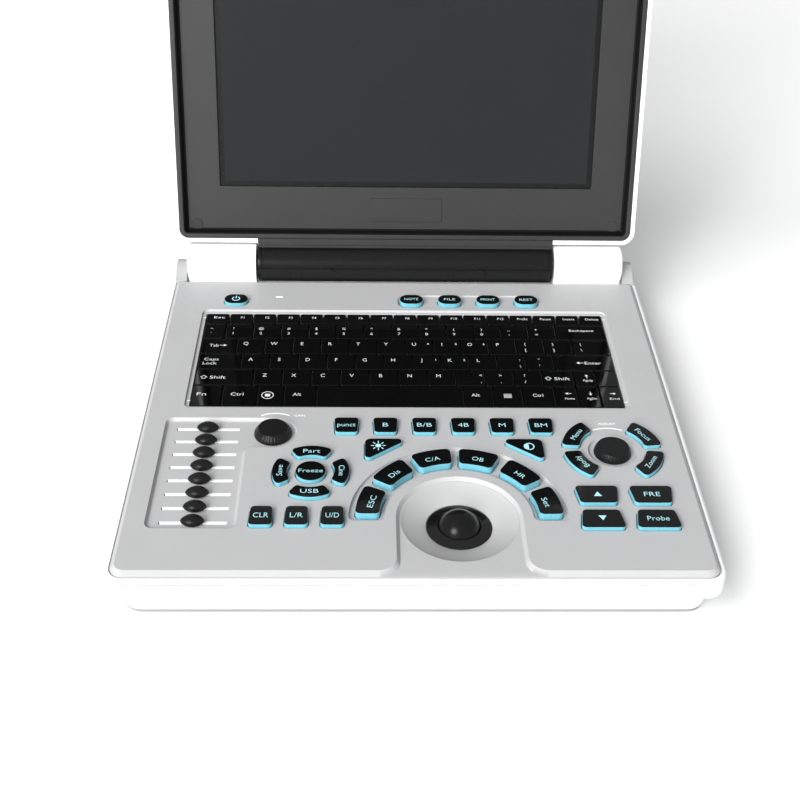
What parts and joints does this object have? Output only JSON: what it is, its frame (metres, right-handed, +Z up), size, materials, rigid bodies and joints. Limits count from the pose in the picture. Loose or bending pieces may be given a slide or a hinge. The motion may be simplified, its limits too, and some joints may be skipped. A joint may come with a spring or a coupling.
{
  "type": "laptop ultrasound scanner",
  "caption": "Portable laptop-style ultrasound scanner: flat console with keyboard, gain sliders, knobs, trackball and shaped keys, and a display lid on a round hinge barrel.",
  "frame": {"origin": "centre of the part's box at the bottom of the rubber feet, with the lid at its rest opening", "axes": "+Z up, +Y from the user towards the hinge and the rear, +X to the user's right"},
  "size_m": [0.34, 0.4236, 0.3419],
  "materials": {
    "white_shell": "smooth satin-gloss moulded white",
    "grey_deck": "fine-textured light grey paint",
    "dark_bezel": "fine-textured dark grey",
    "black_barrel": "semi-gloss black moulding",
    "black_plastic": "satin black moulding",
    "ball_gloss": "polished black ball",
    "key_shell": "glossy black top over a translucent light blue skirt",
    "keyboard_gloss": "glossy black keycaps with white legends",
    "screen_panel": "anti-glare black liquid-crystal panel",
    "rubber": "moulded matt rubber",
    "steel": "plated steel",
    "circuit_board": "green solder mask",
    "battery_wrap": "dark shrink wrap"
  },
  "bodies": {
    "console": {"bottom_case": "white_shell", "main_case": "white_shell", "console_panel": "grey_deck", "keyboard_frame": "black_plastic", "trackball_seat": "black_plastic", "control_board": "circuit_board", "slider_pots": "steel", "main_board": "circuit_board", "battery_pack": "battery_wrap", "probe_socket": "black_plastic", "rear_ports": "steel", "rubber_feet": "rubber", "case_screws": "steel", "hinge_caps": "white_shell", "hinge_shafts": "steel"},
    "display": {"display_cover": "white_shell", "display_bezel": "dark_bezel", "display_screen": "screen_panel", "hinge_barrel": "black_barrel", "barrel_strip": "black_barrel", "bezel_plugs": "rubber"},
    "gain_slider_1": {"gain_slider_1": "black_plastic"},
    "gain_slider_2": {"gain_slider_2": "black_plastic"},
    "gain_slider_3": {"gain_slider_3": "black_plastic"},
    "gain_slider_4": {"gain_slider_4": "black_plastic"},
    "gain_slider_5": {"gain_slider_5": "black_plastic"},
    "gain_slider_6": {"gain_slider_6": "black_plastic"},
    "gain_slider_7": {"gain_slider_7": "black_plastic"},
    "gain_slider_8": {"gain_slider_8": "black_plastic"},
    "gain_knob": {"gain_knob": "black_plastic"},
    "menu_knob": {"menu_knob": "black_plastic"},
    "trackball": {"trackball": "ball_gloss"},
    "keyboard_keys": {"keyboard_keys": "keyboard_gloss"},
    "power_key": {"power_key": "key_shell"},
    "function_keys": {"function_keys": "key_shell"},
    "mode_keys": {"mode_keys": "key_shell"},
    "brightness_key": {"brightness_key": "key_shell"},
    "contrast_key": {"contrast_key": "key_shell"},
    "escape_key": {"escape_key": "key_shell"},
    "distance_key": {"distance_key": "key_shell"},
    "circumference_key": {"circumference_key": "key_shell"},
    "obstetrics_key": {"obstetrics_key": "key_shell"},
    "heart_rate_key": {"heart_rate_key": "key_shell"},
    "set_key": {"set_key": "key_shell"},
    "body_part_key": {"body_part_key": "key_shell"},
    "save_key": {"save_key": "key_shell"},
    "freeze_key": {"freeze_key": "key_shell"},
    "cine_key": {"cine_key": "key_shell"},
    "usb_key": {"usb_key": "key_shell"},
    "clear_key": {"clear_key": "key_shell"},
    "flip_side_key": {"flip_side_key": "key_shell"},
    "flip_up_down_key": {"flip_up_down_key": "key_shell"},
    "menu_key": {"menu_key": "key_shell"},
    "focus_key": {"focus_key": "key_shell"},
    "body_mark_key": {"body_mark_key": "key_shell"},
    "zoom_key": {"zoom_key": "key_shell"},
    "up_key": {"up_key": "key_shell"},
    "down_key": {"down_key": "key_shell"},
    "frequency_key": {"frequency_key": "key_shell"},
    "probe_key": {"probe_key": "key_shell"}
  },
  "joints": [
    {"name": "lid_hinge", "type": "hinge", "parent": "console", "child": "display", "pos_m": [0, 0.10974, 0.0405], "axis": [1, 0, 0], "range_deg": [-29, 106]},
    {"name": "gain_slider_1_slide", "type": "slide", "parent": "console", "child": "gain_slider_1", "axis": [1, 0, 0], "range_m": [-0.015, 0.015]},
    {"name": "gain_slider_2_slide", "type": "slide", "parent": "console", "child": "gain_slider_2", "axis": [1, 0, 0], "range_m": [-0.015, 0.015]},
    {"name": "gain_slider_3_slide", "type": "slide", "parent": "console", "child": "gain_slider_3", "axis": [1, 0, 0], "range_m": [-0.015, 0.015]},
    {"name": "gain_slider_4_slide", "type": "slide", "parent": "console", "child": "gain_slider_4", "axis": [1, 0, 0], "range_m": [-0.015, 0.015]},
    {"name": "gain_slider_5_slide", "type": "slide", "parent": "console", "child": "gain_slider_5", "axis": [1, 0, 0], "range_m": [-0.015, 0.015]},
    {"name": "gain_slider_6_slide", "type": "slide", "parent": "console", "child": "gain_slider_6", "axis": [1, 0, 0], "range_m": [-0.015, 0.015]},
    {"name": "gain_slider_7_slide", "type": "slide", "parent": "console", "child": "gain_slider_7", "axis": [1, 0, 0], "range_m": [-0.015, 0.015]},
    {"name": "gain_slider_8_slide", "type": "slide", "parent": "console", "child": "gain_slider_8", "axis": [1, 0, 0], "range_m": [-0.015, 0.015]},
    {"name": "gain_knob_turn", "type": "hinge", "parent": "console", "child": "gain_knob", "pos_m": [-0.0852, -0.08436, 0.034], "axis": [0, 0, 1], "continuous": true},
    {"name": "menu_knob_turn", "type": "hinge", "parent": "console", "child": "menu_knob", "pos_m": [0.1218, -0.10196, 0.034], "axis": [0, 0, 1], "continuous": true},
    {"name": "trackball_roll", "type": "hinge", "parent": "console", "child": "trackball", "pos_m": [0.0254, -0.16246, 0.0242], "axis": [1, 0, 0], "continuous": true},
    {"name": "keyboard_keys_press", "type": "slide", "parent": "console", "child": "keyboard_keys", "axis": [0, 0, -1], "range_m": [0, 0.002], "stiffness_N_per_m": 2000, "springref_m": -0.0006},
    {"name": "power_key_press", "type": "slide", "parent": "console", "child": "power_key", "axis": [0, 0, -1], "range_m": [0, 0.0018], "stiffness_N_per_m": 400, "springref_m": -0.0006},
    {"name": "function_keys_press", "type": "slide", "parent": "console", "child": "function_keys", "axis": [0, 0, -1], "range_m": [0, 0.0018], "stiffness_N_per_m": 1200, "springref_m": -0.0006},
    {"name": "mode_keys_press", "type": "slide", "parent": "console", "child": "mode_keys", "axis": [0, 0, -1], "range_m": [0, 0.0018], "stiffness_N_per_m": 1200, "springref_m": -0.0006},
    {"name": "brightness_key_press", "type": "slide", "parent": "console", "child": "brightness_key", "axis": [0, 0, -1], "range_m": [0, 0.0018], "stiffness_N_per_m": 400, "springref_m": -0.0006},
    {"name": "contrast_key_press", "type": "slide", "parent": "console", "child": "contrast_key", "axis": [0, 0, -1], "range_m": [0, 0.0018], "stiffness_N_per_m": 400, "springref_m": -0.0006},
    {"name": "escape_key_press", "type": "slide", "parent": "console", "child": "escape_key", "axis": [0, 0, -1], "range_m": [0, 0.0018], "stiffness_N_per_m": 400, "springref_m": -0.0006},
    {"name": "distance_key_press", "type": "slide", "parent": "console", "child": "distance_key", "axis": [0, 0, -1], "range_m": [0, 0.0018], "stiffness_N_per_m": 400, "springref_m": -0.0006},
    {"name": "circumference_key_press", "type": "slide", "parent": "console", "child": "circumference_key", "axis": [0, 0, -1], "range_m": [0, 0.0018], "stiffness_N_per_m": 400, "springref_m": -0.0006},
    {"name": "obstetrics_key_press", "type": "slide", "parent": "console", "child": "obstetrics_key", "axis": [0, 0, -1], "range_m": [0, 0.0018], "stiffness_N_per_m": 400, "springref_m": -0.0006},
    {"name": "heart_rate_key_press", "type": "slide", "parent": "console", "child": "heart_rate_key", "axis": [0, 0, -1], "range_m": [0, 0.0018], "stiffness_N_per_m": 400, "springref_m": -0.0006},
    {"name": "set_key_press", "type": "slide", "parent": "console", "child": "set_key", "axis": [0, 0, -1], "range_m": [0, 0.0018], "stiffness_N_per_m": 400, "springref_m": -0.0006},
    {"name": "body_part_key_press", "type": "slide", "parent": "console", "child": "body_part_key", "axis": [0, 0, -1], "range_m": [0, 0.0018], "stiffness_N_per_m": 400, "springref_m": -0.0006},
    {"name": "save_key_press", "type": "slide", "parent": "console", "child": "save_key", "axis": [0, 0, -1], "range_m": [0, 0.0018], "stiffness_N_per_m": 400, "springref_m": -0.0006},
    {"name": "freeze_key_press", "type": "slide", "parent": "console", "child": "freeze_key", "axis": [0, 0, -1], "range_m": [0, 0.0018], "stiffness_N_per_m": 400, "springref_m": -0.0006},
    {"name": "cine_key_press", "type": "slide", "parent": "console", "child": "cine_key", "axis": [0, 0, -1], "range_m": [0, 0.0018], "stiffness_N_per_m": 400, "springref_m": -0.0006},
    {"name": "usb_key_press", "type": "slide", "parent": "console", "child": "usb_key", "axis": [0, 0, -1], "range_m": [0, 0.0018], "stiffness_N_per_m": 400, "springref_m": -0.0006},
    {"name": "clear_key_press", "type": "slide", "parent": "console", "child": "clear_key", "axis": [0, 0, -1], "range_m": [0, 0.0018], "stiffness_N_per_m": 400, "springref_m": -0.0006},
    {"name": "flip_side_key_press", "type": "slide", "parent": "console", "child": "flip_side_key", "axis": [0, 0, -1], "range_m": [0, 0.0018], "stiffness_N_per_m": 400, "springref_m": -0.0006},
    {"name": "flip_up_down_key_press", "type": "slide", "parent": "console", "child": "flip_up_down_key", "axis": [0, 0, -1], "range_m": [0, 0.0018], "stiffness_N_per_m": 400, "springref_m": -0.0006},
    {"name": "menu_key_press", "type": "slide", "parent": "console", "child": "menu_key", "axis": [0, 0, -1], "range_m": [0, 0.0018], "stiffness_N_per_m": 400, "springref_m": -0.0006},
    {"name": "focus_key_press", "type": "slide", "parent": "console", "child": "focus_key", "axis": [0, 0, -1], "range_m": [0, 0.0018], "stiffness_N_per_m": 400, "springref_m": -0.0006},
    {"name": "body_mark_key_press", "type": "slide", "parent": "console", "child": "body_mark_key", "axis": [0, 0, -1], "range_m": [0, 0.0018], "stiffness_N_per_m": 400, "springref_m": -0.0006},
    {"name": "zoom_key_press", "type": "slide", "parent": "console", "child": "zoom_key", "axis": [0, 0, -1], "range_m": [0, 0.0018], "stiffness_N_per_m": 400, "springref_m": -0.0006},
    {"name": "up_key_press", "type": "slide", "parent": "console", "child": "up_key", "axis": [0, 0, -1], "range_m": [0, 0.0018], "stiffness_N_per_m": 400, "springref_m": -0.0006},
    {"name": "down_key_press", "type": "slide", "parent": "console", "child": "down_key", "axis": [0, 0, -1], "range_m": [0, 0.0018], "stiffness_N_per_m": 400, "springref_m": -0.0006},
    {"name": "frequency_key_press", "type": "slide", "parent": "console", "child": "frequency_key", "axis": [0, 0, -1], "range_m": [0, 0.0018], "stiffness_N_per_m": 400, "springref_m": -0.0006},
    {"name": "probe_key_press", "type": "slide", "parent": "console", "child": "probe_key", "axis": [0, 0, -1], "range_m": [0, 0.0018], "stiffness_N_per_m": 400, "springref_m": -0.0006}
  ]
}
